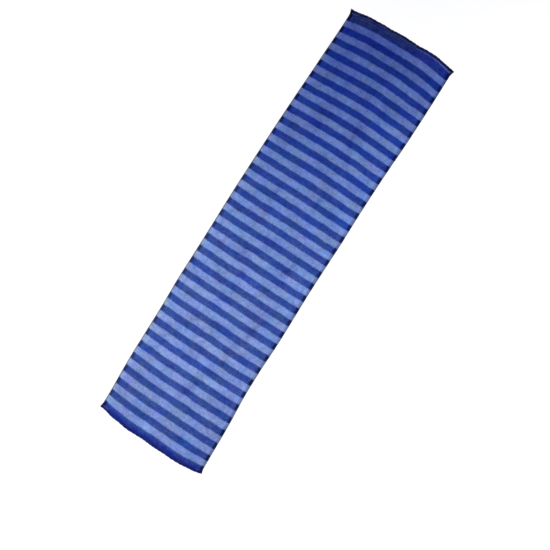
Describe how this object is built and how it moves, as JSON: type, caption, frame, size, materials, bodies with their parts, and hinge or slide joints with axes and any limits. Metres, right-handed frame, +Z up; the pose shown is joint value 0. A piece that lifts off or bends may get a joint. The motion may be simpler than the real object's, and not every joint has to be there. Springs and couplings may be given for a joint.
{
  "type": "nylon body wash towel",
  "caption": "Long narrow knitted nylon wash towel with light and dark blue crosswise stripes, dense side edges and a turned, overlocked hem at each end, lying flat.",
  "frame": {"origin": "centre of the towel's outline, on the surface that it lies on", "axes": "+Z up out of the face, +Y along the length towards the head end, +X across the width to the right edge"},
  "size_m": [0.293, 1.2, 0.0051],
  "materials": {
    "cloth": "crinkled nylon knit with a faint sheen, striped crosswise in cornflower blue and deep blue, near-black overlocked end edges"
  },
  "bodies": {
    "root": {"towel": "cloth"}
  },
  "joints": []
}
